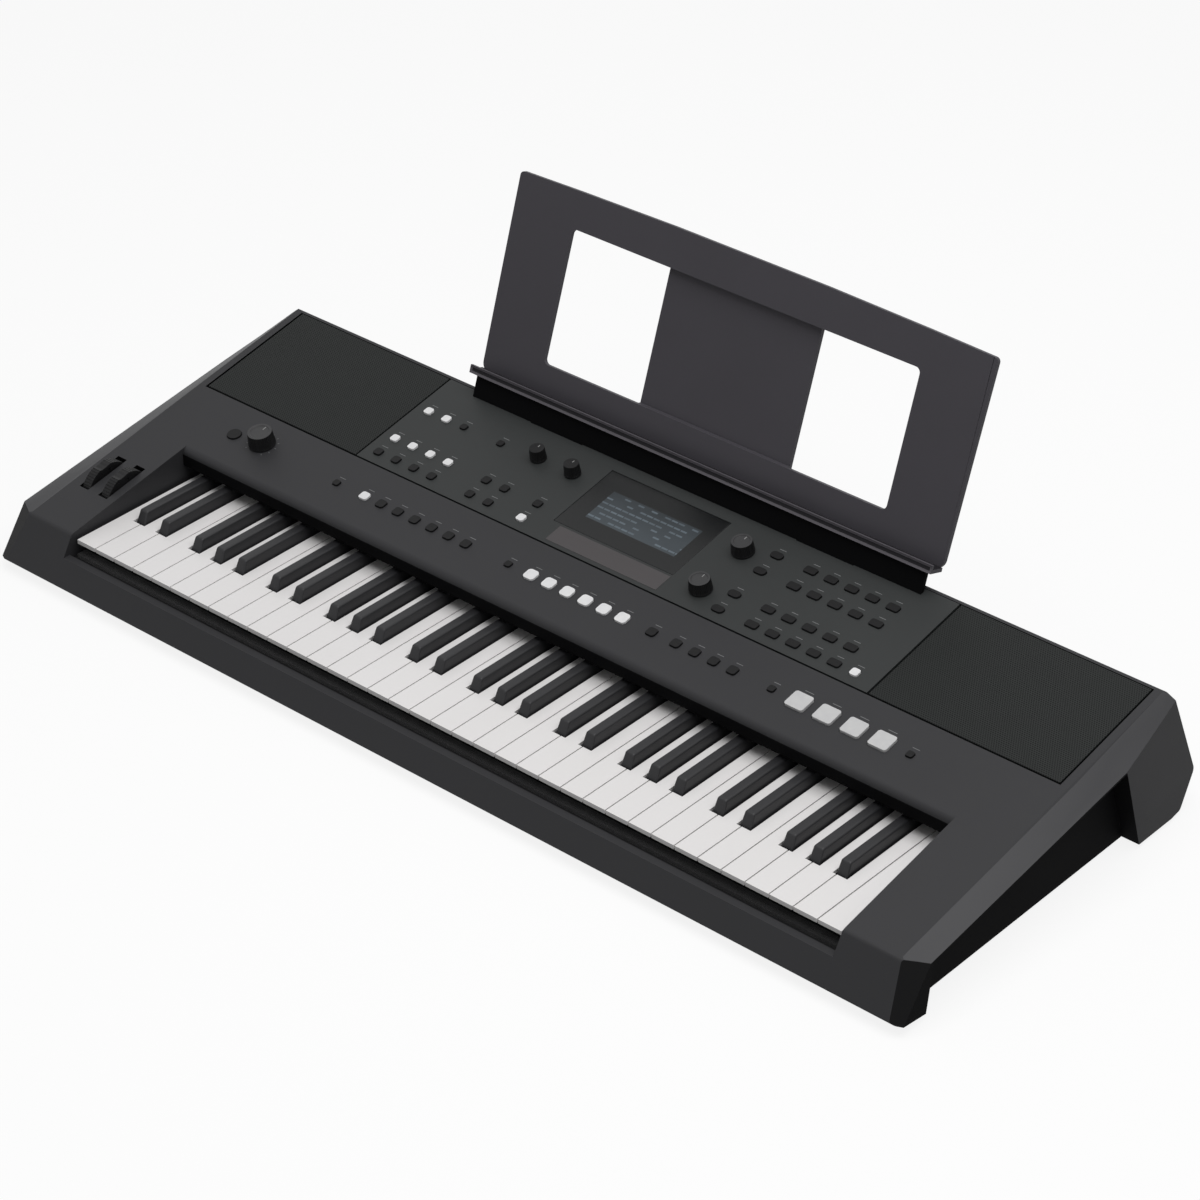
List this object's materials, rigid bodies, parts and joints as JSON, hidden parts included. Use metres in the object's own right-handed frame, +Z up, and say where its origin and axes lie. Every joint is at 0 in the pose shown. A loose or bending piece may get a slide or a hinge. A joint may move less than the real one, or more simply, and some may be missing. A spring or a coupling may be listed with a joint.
{
  "type": "arranger keyboard",
  "caption": "Portable arranger keyboard with full-size keys, speaker grilles, display, buttons, pads, wheels, rotary controls and a lift-off music rest.",
  "frame": {"origin": "on the table, under the middle of the whole keyboard's box, music rest included", "axes": "+X to the player's right, +Y to the rear, +Z up"},
  "size_m": [1.002, 0.4348, 0.3136],
  "materials": {
    "case_plastic": "fine textured charcoal",
    "base_plastic": "fine textured near black",
    "panel_plastic": "satin charcoal",
    "grille_metal": "fine perforated, matt black",
    "window_plastic": "glossy tinted",
    "display_module": "lit display",
    "white_key_plastic": "satin off-white",
    "black_key_plastic": "satin black",
    "dark_button": "matt rubberised",
    "white_button": "translucent white",
    "knob_plastic": "dark skirt with a grey top",
    "wheel_plastic": "satin black",
    "rest_plastic": "satin bluish charcoal",
    "circuit_board": "solder mask",
    "chassis_plastic": "moulded black",
    "contact_rubber": "silicone",
    "felt": "felt",
    "speaker_frame": "black frame and cone",
    "steel": "plain",
    "jack_plastic": "moulded black",
    "socket_metal": "plated",
    "foot_rubber": "plain"
  },
  "bodies": {
    "case": {"case_screws": "steel", "centre_panel": "panel_plastic", "display_module": "display_module", "display_window": "window_plastic", "jack_bay": "jack_plastic", "key_chassis": "chassis_plastic", "key_contact_board": "circuit_board", "key_contact_rubber": "contact_rubber", "key_felt_strips": "felt", "left_grille": "grille_metal", "left_speaker": "speaker_frame", "lower_case": "base_plastic", "main_board": "circuit_board", "panel_board": "circuit_board", "pedal_jack": "jack_plastic", "phones_jack": "jack_plastic", "power_inlet": "jack_plastic", "right_grille": "grille_metal", "right_speaker": "speaker_frame", "rotary_controls": "socket_metal", "rubber_feet": "foot_rubber", "upper_case": "case_plastic", "usb_socket": "socket_metal", "wheel_axle": "steel", "wheel_bracket": "chassis_plastic"},
    "category_buttons": {"category_buttons": "dark_button"},
    "left_panel_buttons": {"left_panel_buttons": "dark_button"},
    "left_tone_knob": {"left_tone_knob": "knob_plastic"},
    "lit_buttons": {"lit_buttons": "white_button"},
    "lower_dial": {"lower_dial": "knob_plastic"},
    "modulation_wheel": {"modulation_wheel": "wheel_plastic"},
    "music_rest": {"music_rest": "rest_plastic"},
    "octave_1_black_keys": {"octave_1_black_keys": "black_key_plastic"},
    "octave_1_inner_whites": {"octave_1_inner_whites": "white_key_plastic"},
    "octave_1_outer_whites": {"octave_1_outer_whites": "white_key_plastic"},
    "octave_2_black_keys": {"octave_2_black_keys": "black_key_plastic"},
    "octave_2_inner_whites": {"octave_2_inner_whites": "white_key_plastic"},
    "octave_2_outer_whites": {"octave_2_outer_whites": "white_key_plastic"},
    "octave_3_black_keys": {"octave_3_black_keys": "black_key_plastic"},
    "octave_3_inner_whites": {"octave_3_inner_whites": "white_key_plastic"},
    "octave_3_outer_whites": {"octave_3_outer_whites": "white_key_plastic"},
    "octave_4_black_keys": {"octave_4_black_keys": "black_key_plastic"},
    "octave_4_inner_whites": {"octave_4_inner_whites": "white_key_plastic"},
    "octave_4_outer_whites": {"octave_4_outer_whites": "white_key_plastic"},
    "octave_5_black_keys": {"octave_5_black_keys": "black_key_plastic"},
    "octave_5_inner_whites": {"octave_5_inner_whites": "white_key_plastic"},
    "octave_5_outer_whites": {"octave_5_outer_whites": "white_key_plastic"},
    "pad_1": {"pad_1": "white_button"},
    "pad_2": {"pad_2": "white_button"},
    "pad_3": {"pad_3": "white_button"},
    "pad_4": {"pad_4": "white_button"},
    "pitch_wheel": {"pitch_wheel": "wheel_plastic"},
    "power_button": {"power_button": "dark_button"},
    "right_tone_knob": {"right_tone_knob": "knob_plastic"},
    "start_button": {"start_button": "white_button"},
    "strip_buttons": {"strip_buttons": "dark_button"},
    "top_white_key": {"top_white_key": "white_key_plastic"},
    "track_buttons": {"track_buttons": "white_button"},
    "upper_dial": {"upper_dial": "knob_plastic"},
    "volume_knob": {"volume_knob": "knob_plastic"}
  },
  "joints": [
    {"name": "music_rest_lift", "type": "slide", "parent": "case", "child": "music_rest", "axis": [0, 0.314, 0.9494], "range_m": [0, 0.05]},
    {"name": "volume_knob_turn", "type": "hinge", "parent": "case", "child": "volume_knob", "pos_m": [-0.3685, -0.01463, 0.08742], "axis": [0, -0.1925, 0.9813], "range_deg": [-140, 140]},
    {"name": "left_tone_knob_turn", "type": "hinge", "parent": "case", "child": "left_tone_knob", "pos_m": [-0.1405, 0.10036, 0.10998], "axis": [0, -0.1925, 0.9813], "range_deg": [-140, 140]},
    {"name": "right_tone_knob_turn", "type": "hinge", "parent": "case", "child": "right_tone_knob", "pos_m": [-0.10051, 0.10036, 0.10998], "axis": [0, -0.1925, 0.9813], "range_deg": [-140, 140]},
    {"name": "upper_dial_turn", "type": "hinge", "parent": "case", "child": "upper_dial", "pos_m": [0.09099, 0.09937, 0.10979], "axis": [0, -0.1925, 0.9813], "continuous": true},
    {"name": "lower_dial_turn", "type": "hinge", "parent": "case", "child": "lower_dial", "pos_m": [0.09099, 0.04386, 0.0989], "axis": [0, -0.1925, 0.9813], "continuous": true},
    {"name": "pitch_wheel_turn", "type": "hinge", "parent": "case", "child": "pitch_wheel", "pos_m": [0, -0.11626, 0.04965], "axis": [1, 0, 0], "range_deg": [-32, 32], "stiffness_Nm_per_rad": 0.02},
    {"name": "modulation_wheel_turn", "type": "hinge", "parent": "case", "child": "modulation_wheel", "pos_m": [0, -0.11626, 0.04965], "axis": [1, 0, 0], "range_deg": [-32, 32]},
    {"name": "category_buttons_press", "type": "slide", "parent": "case", "child": "category_buttons", "axis": [0, 0.1925, -0.9813], "range_m": [0, 0.0012], "stiffness_N_per_m": 400, "springref_m": -0.00102},
    {"name": "left_panel_buttons_press", "type": "slide", "parent": "case", "child": "left_panel_buttons", "axis": [0, 0.1925, -0.9813], "range_m": [0, 0.0012], "stiffness_N_per_m": 400, "springref_m": -0.00032},
    {"name": "power_button_press", "type": "slide", "parent": "case", "child": "power_button", "axis": [0, 0.1925, -0.9813], "range_m": [0, 0.0012], "stiffness_N_per_m": 111.7, "springref_m": -0.00021},
    {"name": "strip_buttons_press", "type": "slide", "parent": "case", "child": "strip_buttons", "axis": [0, 0.1925, -0.9813], "range_m": [0, 0.0012], "stiffness_N_per_m": 400, "springref_m": -0.00043},
    {"name": "lit_buttons_press", "type": "slide", "parent": "case", "child": "lit_buttons", "axis": [0, 0.1925, -0.9813], "range_m": [0, 0.0012], "stiffness_N_per_m": 400, "springref_m": -0.00025},
    {"name": "pad_1_press", "type": "slide", "parent": "case", "child": "pad_1", "axis": [0, 0.1925, -0.9813], "range_m": [0, 0.0012], "stiffness_N_per_m": 273.1, "springref_m": -0.00021},
    {"name": "pad_2_press", "type": "slide", "parent": "case", "child": "pad_2", "axis": [0, 0.1925, -0.9813], "range_m": [0, 0.0012], "stiffness_N_per_m": 273.1, "springref_m": -0.00021},
    {"name": "pad_3_press", "type": "slide", "parent": "case", "child": "pad_3", "axis": [0, 0.1925, -0.9813], "range_m": [0, 0.0012], "stiffness_N_per_m": 273.1, "springref_m": -0.00021},
    {"name": "pad_4_press", "type": "slide", "parent": "case", "child": "pad_4", "axis": [0, 0.1925, -0.9813], "range_m": [0, 0.0012], "stiffness_N_per_m": 273.1, "springref_m": -0.00021},
    {"name": "start_button_press", "type": "slide", "parent": "case", "child": "start_button", "axis": [0, 0.1925, -0.9813], "range_m": [0, 0.0012], "stiffness_N_per_m": 61.8, "springref_m": -0.00021},
    {"name": "track_buttons_press", "type": "slide", "parent": "case", "child": "track_buttons", "axis": [0, 0.1925, -0.9813], "range_m": [0, 0.0012], "stiffness_N_per_m": 400, "springref_m": -0.00032},
    {"name": "octave_1_inner_whites_press", "type": "hinge", "parent": "case", "child": "octave_1_inner_whites", "pos_m": [0, 0.00337, 0.0395], "axis": [1, 0, 0], "range_deg": [0, 3], "stiffness_Nm_per_rad": 0.749, "springref_deg": -5.73},
    {"name": "octave_1_outer_whites_press", "type": "hinge", "parent": "case", "child": "octave_1_outer_whites", "pos_m": [0, -0.00663, 0.0395], "axis": [1, 0, 0], "range_deg": [0, 3], "stiffness_Nm_per_rad": 0.913, "springref_deg": -5.73},
    {"name": "top_white_key_press", "type": "hinge", "parent": "case", "child": "top_white_key", "pos_m": [0, -0.00663, 0.0395], "axis": [1, 0, 0], "range_deg": [0, 3], "stiffness_Nm_per_rad": 0.288, "springref_deg": -5.73},
    {"name": "octave_1_black_keys_press", "type": "hinge", "parent": "case", "child": "octave_1_black_keys", "pos_m": [0, 0.01337, 0.0395], "axis": [1, 0, 0], "range_deg": [0, 3], "stiffness_Nm_per_rad": 1.556, "springref_deg": -5.73},
    {"name": "octave_2_inner_whites_press", "type": "hinge", "parent": "case", "child": "octave_2_inner_whites", "pos_m": [0, 0.00337, 0.0395], "axis": [1, 0, 0], "range_deg": [0, 3], "stiffness_Nm_per_rad": 0.749, "springref_deg": -5.73},
    {"name": "octave_2_outer_whites_press", "type": "hinge", "parent": "case", "child": "octave_2_outer_whites", "pos_m": [0, -0.00663, 0.0395], "axis": [1, 0, 0], "range_deg": [0, 3], "stiffness_Nm_per_rad": 0.913, "springref_deg": -5.73},
    {"name": "octave_3_inner_whites_press", "type": "hinge", "parent": "case", "child": "octave_3_inner_whites", "pos_m": [0, 0.00337, 0.0395], "axis": [1, 0, 0], "range_deg": [0, 3], "stiffness_Nm_per_rad": 0.749, "springref_deg": -5.73},
    {"name": "octave_3_outer_whites_press", "type": "hinge", "parent": "case", "child": "octave_3_outer_whites", "pos_m": [0, -0.00663, 0.0395], "axis": [1, 0, 0], "range_deg": [0, 3], "stiffness_Nm_per_rad": 0.913, "springref_deg": -5.73},
    {"name": "octave_4_inner_whites_press", "type": "hinge", "parent": "case", "child": "octave_4_inner_whites", "pos_m": [0, 0.00337, 0.0395], "axis": [1, 0, 0], "range_deg": [0, 3], "stiffness_Nm_per_rad": 0.749, "springref_deg": -5.73},
    {"name": "octave_4_outer_whites_press", "type": "hinge", "parent": "case", "child": "octave_4_outer_whites", "pos_m": [0, -0.00663, 0.0395], "axis": [1, 0, 0], "range_deg": [0, 3], "stiffness_Nm_per_rad": 0.913, "springref_deg": -5.73},
    {"name": "octave_5_inner_whites_press", "type": "hinge", "parent": "case", "child": "octave_5_inner_whites", "pos_m": [0, 0.00337, 0.0395], "axis": [1, 0, 0], "range_deg": [0, 3], "stiffness_Nm_per_rad": 0.749, "springref_deg": -5.73},
    {"name": "octave_5_outer_whites_press", "type": "hinge", "parent": "case", "child": "octave_5_outer_whites", "pos_m": [0, -0.00663, 0.0395], "axis": [1, 0, 0], "range_deg": [0, 3], "stiffness_Nm_per_rad": 0.913, "springref_deg": -5.73},
    {"name": "octave_2_black_keys_press", "type": "hinge", "parent": "case", "child": "octave_2_black_keys", "pos_m": [0, 0.01337, 0.0395], "axis": [1, 0, 0], "range_deg": [0, 3], "stiffness_Nm_per_rad": 1.556, "springref_deg": -5.73},
    {"name": "octave_3_black_keys_press", "type": "hinge", "parent": "case", "child": "octave_3_black_keys", "pos_m": [0, 0.01337, 0.0395], "axis": [1, 0, 0], "range_deg": [0, 3], "stiffness_Nm_per_rad": 1.556, "springref_deg": -5.73},
    {"name": "octave_4_black_keys_press", "type": "hinge", "parent": "case", "child": "octave_4_black_keys", "pos_m": [0, 0.01337, 0.0395], "axis": [1, 0, 0], "range_deg": [0, 3], "stiffness_Nm_per_rad": 1.556, "springref_deg": -5.73},
    {"name": "octave_5_black_keys_press", "type": "hinge", "parent": "case", "child": "octave_5_black_keys", "pos_m": [0, 0.01337, 0.0395], "axis": [1, 0, 0], "range_deg": [0, 3], "stiffness_Nm_per_rad": 1.556, "springref_deg": -5.73}
  ]
}
